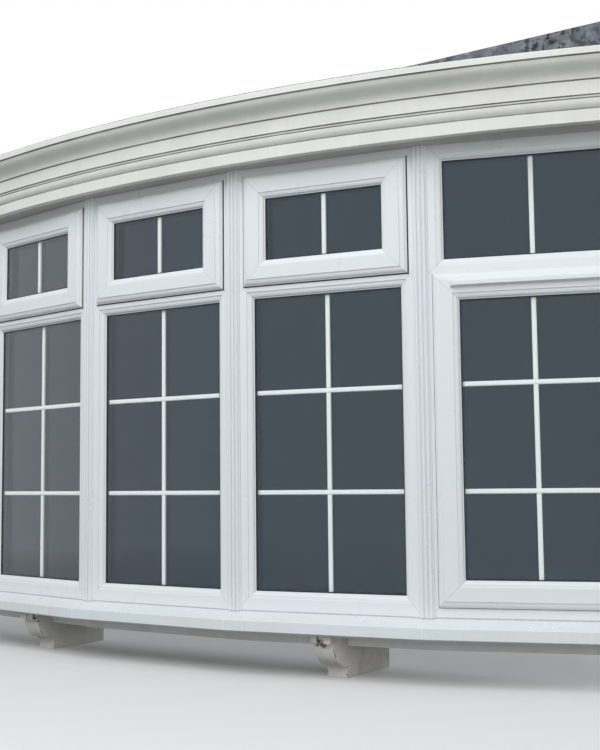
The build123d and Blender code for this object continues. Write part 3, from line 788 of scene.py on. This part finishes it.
# Joint strips where the sill's lengths meet: down its slope, over the nose's eased corner and down its face
jointSizes = {
    "width": 0.0030,
    "proud": 0.0007,
    "lean": 0.6,  # how much the strip stands up for each unit that it stands out
    "start": (0.0005, -0.0001),
    "sillReach": 0.070,
    "sillFall": 0.020,
    "noseHeight": 0.034,
    "ease": 0.0022,
    "easeRise": 0.0006,
    "footGap": 0.0025,
}
sizes = jointSizes
reach = sizes["sillReach"] / math.cos(halfTurn)
fall = sizes["sillFall"]
for number in range(1, len(lights)):
    joint = bmesh.new()
    path = (sizes["start"], (reach - sizes["ease"], -fall + sizes["easeRise"]),
            (reach, -fall - sizes["ease"]), (reach, -fall - sizes["noseHeight"] + sizes["footGap"]))
    chain = [joint.verts.new((-sizes["width"] / 2, -out, level)) for out, level in path]
    edges = [joint.edges.new(pair) for pair in zip(chain, chain[1:])]
    swept = bmesh.ops.extrude_edge_only(joint, edges=edges)["geom"]
    moved = [item for item in swept if isinstance(item, bmesh.types.BMVert)]
    bmesh.ops.translate(joint, vec=(sizes["width"], 0.0, 0.0), verts=moved)
    pull(joint, joint.faces[:], (0.0, -sizes["proud"], sizes["proud"] * sizes["lean"]))
    place = standAt(corners[number], (turns[number - 1] + turns[number]) / 2)
    finishPiece("sill_joint_" + str(number), joint, ["joint_white"], place)
print("sealant placed")

# Corbel brackets: belly and square nose with knocked edges, and a front block that is broken in the middle.
# Out is measured from the wall, across from the bracket's middle, level from the base board's underside.
bracketSizes = {
    "width": 0.070,
    "centre": (corners[3].x + corners[4].x) / 2 - 0.004,
    "top": -0.009,
    "reach": projection - 0.011,
    "height": 0.131,
    "noseSetBack": 0.095,
    "noseHeight": 0.033,
    "stepReach": 0.009,
    "stepHeight": 0.004,
    "blockReach": 0.020,
    "blockHeight": 0.021,
    "blockLap": 0.004,
    "rounding": 0.0007,
    "bellySteps": 26,
    "blockCuts": 5,
    "widthCuts": (-0.0325, -0.027, -0.020, -0.012, -0.005, 0.003, 0.010, 0.017, 0.025, 0.0325),
    "noseCuts": (-0.102, -0.107, -0.113, -0.119, -0.125),
    "cutFrom": 0.200,  # out from the wall, where the nose cuts begin
    "cutReach": 0.00001,
    "left": {  # blocks: from and to across, reach, height; gouges: across, level, radius, depth
        "blocks": ((-0.0350, -0.0030, 0.0200, 0.0205), (0.0000, 0.0265, 0.0196, 0.0195),
                   (0.0262, 0.0350, 0.0110, 0.0120)),
        "gouges": ((0.034, -0.024, 0.007, 0.0050),),
        "seed": 3.1,
    },
    "right": {
        "blocks": ((-0.0350, -0.0120, 0.0198, 0.0200), (-0.0126, 0.0085, 0.0125, 0.0105),
                   (0.0110, 0.0350, 0.0200, 0.0210)),
        "gouges": ((-0.001, -0.024, 0.012, 0.0060), (-0.022, -0.028, 0.006, 0.0030)),
        "seed": 7.7,
    },
}
wear = {
    "chipDepth": 0.0034,
    "chipScale": (30.0, 75.0, 75.0),
    "chipStart": 0.08,
    "chipGain": 2.2,
    "least": 0.0003,
    "bareDepth": 0.0007,
    "roughScale": 190.0,
    "roughWhole": 0.0008,
    "roughBroken": 0.0022,
    "slack": 0.001,
    "edgeSlack": 0.0008,
    "skin": 0.0005,
    "seed": 11,
    "seedSpread": 50.0,
}
halfBracket = bracketSizes["width"] / 2
bellyReach = bracketSizes["reach"] - bracketSizes["blockReach"]
noseReach = bracketSizes["reach"] - bracketSizes["noseSetBack"]


def addBody(body, sizes):
    # Side outline on the left cheek, its belly spun from one point, then pulled across and cut for the wear
    blockFoot = -sizes["blockHeight"]
    noseTop = sizes["noseHeight"] - sizes["height"]
    footOut = noseReach + sizes["stepReach"]
    drop = blockFoot - (noseTop + sizes["stepHeight"])
    inwards = bellyReach - footOut
    radius = (inwards * inwards + drop * drop) / (2 * inwards)
    centreOut = bellyReach - radius
    sweep = math.atan2(drop, footOut - centreOut)
    top = body.verts.new((-halfBracket, -bellyReach, blockFoot))
    spun = bmesh.ops.spin(body, geom=[top], cent=(-halfBracket, -centreOut, blockFoot), axis=(1.0, 0.0, 0.0),
                          angle=sweep, steps=sizes["bellySteps"], use_merge=False)["geom_last"]
    foot = next(item for item in spun if isinstance(item, bmesh.types.BMVert))
    rest = [body.verts.new((-halfBracket, -out, level)) for out, level in (
        (footOut, noseTop), (noseReach, noseTop), (noseReach, -sizes["height"]), (0.0, -sizes["height"]),
        (0.0, 0.0), (bellyReach, 0.0))]
    for pair in zip([foot] + rest, rest + [top]):
        body.edges.new(pair)
    outline = bmesh.ops.contextual_create(body, geom=body.edges[:])["faces"]
    pull(body, outline, (sizes["width"], 0.0, 0.0))
    for across in sizes["widthCuts"]:
        bmesh.ops.bisect_plane(body, geom=body.verts[:] + body.edges[:] + body.faces[:],
                               dist=sizes["cutReach"], plane_co=(across, 0.0, 0.0), plane_no=(1.0, 0.0, 0.0))
    for level in sizes["noseCuts"]:
        front = [face for face in body.faces
                 if abs(face.normal.x) < 0.5 and face.calc_center_median().y < -sizes["cutFrom"]]
        around = unique(item for face in front for item in list(face.verts) + list(face.edges))
        bmesh.ops.bisect_plane(body, geom=around + front, dist=sizes["cutReach"],
                               plane_co=(0.0, 0.0, level), plane_no=(0.0, 0.0, 1.0))


def knockEdges(body, state):
    # Points on the front move back towards the wall, and where they move far the bare wood shows
    knocked = set()
    for vertex in body.verts:
        across, out, level = vertex.co.x, -vertex.co.y, vertex.co.z
        if out < noseReach - wear["slack"] or level > -bracketSizes["blockHeight"] - wear["slack"]:
            continue
        depth = 0.0
        if abs(across) > halfBracket - wear["edgeSlack"]:
            acrossScale, outScale, levelScale = wear["chipScale"]
            hit = noise.noise((across * acrossScale + state["seed"], out * outScale, level * levelScale))
            depth = wear["chipDepth"] * max(0.0, hit - wear["chipStart"]) * wear["chipGain"]
        for gougeAcross, gougeLevel, spread, deep in state["gouges"]:
            near = math.hypot(across - gougeAcross, level - gougeLevel) / spread
            if near < 1.0:
                depth = max(depth, deep * (1.0 - near) ** 0.5)
        if depth > wear["least"]:
            vertex.co.y += depth
        if depth > wear["bareDepth"]:
            knocked.add(vertex)
    for face in body.faces:
        if abs(face.normal.x) < 0.9 and len(knocked & set(face.verts)) * 2 >= len(face.verts):
            face.material_index = 1


def addBlock(body, state, low, high, reachOut, height):
    # One piece of the front block, with rough faces where it broke
    faces = addSlab(body, (low, -bellyReach - reachOut, -height),
                    (high, -bellyReach + bracketSizes["blockLap"], 0.0))
    edges = unique(edge for face in faces for edge in face.edges)
    before = set(body.faces) - set(faces)
    bmesh.ops.subdivide_edges(body, edges=edges, cuts=bracketSizes["blockCuts"], use_grid_fill=True)
    faces = [face for face in body.faces if face not in before]
    whole = reachOut > bracketSizes["blockReach"] - wear["slack"]
    for face in faces:
        inner = abs(face.normal.x) > 0.9 and abs(face.calc_center_median().x) < halfBracket - wear["slack"]
        if inner or (not whole and face.normal.z < -0.5):
            face.material_index = 1
    seed = state["seed"] + low * wear["seedSpread"]
    for vertex in {vertex for face in faces for vertex in face.verts}:
        if vertex.co.z <= -wear["skin"] and vertex.co.y <= -bellyReach - wear["skin"]:
            push = noise.noise_vector(vertex.co * wear["roughScale"] + Vector((seed, seed, seed)))
            vertex.co = vertex.co + push * wear["roughWhole" if whole else "roughBroken"]


noise.seed_set(wear["seed"])  # without it, noise_vector changes with the clock
for side, sign in (("left", -1.0), ("right", 1.0)):
    state = bracketSizes[side]
    body = bmesh.new()
    addBody(body, bracketSizes)
    knockEdges(body, state)
    for block in state["blocks"]:
        addBlock(body, state, *block)
    place = Matrix.Translation((sign * bracketSizes["centre"], 0.0, bracketSizes["top"]))
    bracket = finishPiece("corbel_" + side, body, ["bracket_paint", "worn_wood"], place,
                          bracketSizes["rounding"])
    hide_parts("bracket_" + side)
print("brackets placed")

# Top of the roof's lead, on which the welts and side strips lie
roofSizes = {
    "corniceTop": 1.631,
    "edgeOut": 0.157,
    "fall": 5.0,
    "thickness": 0.003,
    "endX": 1.6547,
}


def roofTop(x, y):
    out = math.hypot(x, y - curveCentre) - corniceRadius
    rise = (roofSizes["edgeOut"] - out) * math.tan(math.radians(roofSizes["fall"]))
    return roofSizes["corniceTop"] + rise + roofSizes["thickness"]


def roofEdgeY(x, inside):
    radius = corniceRadius + roofSizes["edgeOut"] - inside
    return curveCentre - math.sqrt(radius * radius - x * x)


# Folded welts down the fall
weltSizes = {
    "places": (-0.98, -0.33, 0.33, 0.98),
    "width": 0.022,
    "height": 0.008,
    "sunk": 0.001,
    "rounding": 0.004,
    "cuts": 14,
    "frontInset": 0.045,
    "wallGap": 0.004,
    "swell": 0.10,
    "swellScale": (9.0, 14.0, 40.0),
}
for number, x in enumerate(weltSizes["places"]):
    welt = bmesh.new()
    half = weltSizes["width"] / 2
    addSlab(welt, (-half, 0.0, -weltSizes["sunk"]), (half, 1.0, weltSizes["height"]))
    length = [edge for edge in welt.edges if abs(edge.verts[0].co.y - edge.verts[1].co.y) > 0.5]
    bmesh.ops.subdivide_edges(welt, edges=length, cuts=weltSizes["cuts"])
    top = [edge for edge in welt.edges if min(vertex.co.z for vertex in edge.verts) > 0.001
           and len({round(vertex.co.x, 4) for vertex in edge.verts}) == 1]
    bmesh.ops.bevel(welt, geom=top, offset=weltSizes["rounding"], segments=3, profile=0.5, affect="EDGES",
                    material=-1)
    front = roofEdgeY(x, weltSizes["frontInset"])
    for vertex in welt.verts:
        y = front + (-weltSizes["wallGap"] - front) * vertex.co.y
        spot = [value * scale for value, scale in zip((x, y, vertex.co.z), weltSizes["swellScale"])]
        swell = 1.0 + weltSizes["swell"] * noise.noise(spot)
        vertex.co = Vector((x + vertex.co.x * swell, y, roofTop(x + vertex.co.x, y) + vertex.co.z * swell))
    finishPiece("lead_welt_" + str(number + 1), welt, ["lead"])

# Strips turned down over the roof's sides
stripSizes = {
    "inset": 0.005,
    "standOff": 0.002,
    "thickness": 0.0022,
    "frontInset": 0.006,
    "wallGap": 0.002,
    "headRise": 0.0005,
    "footRise": 0.0006,
    "leastHeight": 0.0005,
    "rounding": 0.0005,
    "cuts": 24,
}
for side, sign in (("left", -1.0), ("right", 1.0)):
    strip = bmesh.new()
    made = bmesh.ops.create_grid(strip, x_segments=stripSizes["cuts"], y_segments=1, size=0.5)["verts"]
    front = roofEdgeY(roofSizes["endX"], stripSizes["frontInset"])
    x = roofSizes["endX"] - stripSizes["inset"]
    for vertex in made:
        y = front + (-stripSizes["wallGap"] - front) * (vertex.co.x + 0.5)
        high = roofTop(x, y) + stripSizes["headRise"]
        low = min(roofSizes["corniceTop"] + stripSizes["footRise"], high - stripSizes["leastHeight"])
        vertex.co = Vector((sign * (x + stripSizes["standOff"]), y, high if vertex.co.y > 0 else low))
    pull(strip, strip.faces[:], (sign * stripSizes["thickness"], 0.0, 0.0))
    finishPiece("lead_side_" + side, strip, ["lead"], None, stripSizes["rounding"])
print("lead placed")

# Floor and world: pale to the camera and in glass, dimmer as light on the object
stageLook = {
    "floorLevel": -0.1406,
    "floorSize": 14.0,
    "floorColour": colour(0.86, 0.86, 0.86),
    "floorFade": (2.6, 7.0),
    "bounceColour": colour(0.28, 0.28, 0.28),
    "background": colour(1.0, 1.0, 1.0),
    "worldColour": colour(0.93, 0.97, 1.0),
    "worldStrength": 0.40,
}


def shownRays(tree):
    rays = addNode(tree, "ShaderNodeLightPath").outputs
    shown = calc(tree, "MAXIMUM", rays["Is Camera Ray"], rays["Is Transmission Ray"])
    return calc(tree, "MAXIMUM", shown, rays["Is Glossy Ray"])


def makeFloor(name, look):
    material, tree, shader = newMaterial(name)
    tree.nodes.remove(shader)
    seen = addNode(tree, "ShaderNodeBsdfDiffuse", {"Color": look["floorColour"]})
    bounced = addNode(tree, "ShaderNodeBsdfDiffuse", {"Color": look["bounceColour"]})
    white = addNode(tree, "ShaderNodeEmission", {"Color": look["background"], "Strength": 1.0})
    distance = addNode(tree, "ShaderNodeVectorMath", {0: objectPoint(tree)}, operation="LENGTH")
    fade = ranged(tree, distance.outputs["Value"], *look["floorFade"])
    pale = addNode(tree, "ShaderNodeMixShader", {0: fade, 1: seen.outputs[0], 2: white.outputs[0]})
    values = {0: shownRays(tree), 1: bounced.outputs[0], 2: pale.outputs[0]}
    choice = addNode(tree, "ShaderNodeMixShader", values)
    tree.links.new(choice.outputs[0], tree.nodes["Material Output"].inputs["Surface"])
    return material


floorMesh = bmesh.new()
bmesh.ops.create_circle(floorMesh, cap_ends=True, segments=96, radius=stageLook["floorSize"],
                        matrix=Matrix.Translation((0.0, 0.0, stageLook["floorLevel"])))
floorData = bpy.data.meshes.new("floor")
floorMesh.to_mesh(floorData)
floorMesh.free()
floorData.materials.append(makeFloor("floor", stageLook))
floor = bpy.data.objects.new("floor", floorData)
bpy.context.scene.collection.objects.link(floor)
floor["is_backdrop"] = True

world = bpy.data.worlds.new("studio")
bpy.context.scene.world = world
world.use_nodes = True
worldTree = world.node_tree
worldTree.nodes.clear()
lit = addNode(worldTree, "ShaderNodeBackground", {
    "Color": stageLook["worldColour"], "Strength": stageLook["worldStrength"]})
pale = addNode(worldTree, "ShaderNodeBackground", {"Color": stageLook["background"], "Strength": 1.0})
sky = addNode(worldTree, "ShaderNodeMixShader", {
    0: shownRays(worldTree), 1: lit.outputs[0], 2: pale.outputs[0]})
ending = worldTree.nodes.new("ShaderNodeOutputWorld")
worldTree.links.new(sky.outputs[0], ending.inputs["Surface"])

# Soft lamps above the front, at the right and behind
lamps = {
    "top": {
        "place": (0.0, -4.9, 5.6), "target": (0.0, -0.4, 0.8), "size": 5.0, "power": 290.0,
        "tint": (0.97, 0.99, 1.0),
    },
    "key": {
        "place": (4.4, -4.2, 2.4), "target": (0.0, -0.2, 0.8), "size": 3.0, "power": 82.0,
        "tint": (1.0, 0.99, 0.97),
    },
    "rear": {
        "place": (0.0, 4.5, 3.2), "target": (0.0, 0.0, 0.8), "size": 4.0, "power": 60.0,
        "tint": (1.0, 1.0, 1.0),
    },
}
for name, settings in lamps.items():
    lamp = bpy.data.lights.new(name, "AREA")
    lamp.shape = "SQUARE"
    lamp.size = settings["size"]
    lamp.energy = settings["power"]
    lamp.color = settings["tint"]
    holder = bpy.data.objects.new(name, lamp)
    holder.location = settings["place"]
    aim = Vector(settings["target"]) - Vector(settings["place"])
    holder.rotation_euler = aim.to_track_quat("-Z", "Y").to_euler()
    holder.visible_camera = False
    holder.visible_glossy = False
    holder.visible_transmission = False
    bpy.context.scene.collection.objects.link(holder)
print("stage set")

# Camera at the photograph's place and angle
cameraFit = {
    "place": (2.50363, -3.27552, 0.45203),
    "yaw": 0.58778,
    "pitch": 0.09076,
    "roll": -0.01064,
    "lens": 55.523,
    "sensor": 36.0,
    "farthest": 60.0,
}
cameraData = bpy.data.cameras.new("camera")
cameraData.sensor_width = cameraFit["sensor"]
cameraData.lens = cameraFit["lens"]
cameraData.clip_end = cameraFit["farthest"]
camera = bpy.data.objects.new("camera", cameraData)
bpy.context.scene.collection.objects.link(camera)
yaw, pitch, roll = cameraFit["yaw"], cameraFit["pitch"], cameraFit["roll"]
forward = Vector((-math.sin(yaw) * math.cos(pitch), math.cos(yaw) * math.cos(pitch), math.sin(pitch)))
level = Vector((math.cos(yaw), math.sin(yaw), 0.0))
upright = level.cross(forward)
tiltedRight = level * math.cos(roll) + upright * math.sin(roll)
tiltedUp = upright * math.cos(roll) - level * math.sin(roll)
axes = Matrix((tiltedRight, tiltedUp, -forward)).transposed()
camera.matrix_world = Matrix.Translation(cameraFit["place"]) @ axes.to_4x4()
bpy.context.scene.camera = camera
bpy.context.scene.view_settings.view_transform = "Standard"

bpy.context.view_layer.update()
sizes = {"cad": [list(corner) for corner in cadBox], "visual": [list(corner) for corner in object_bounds()]}
print("sizes:", sizes)
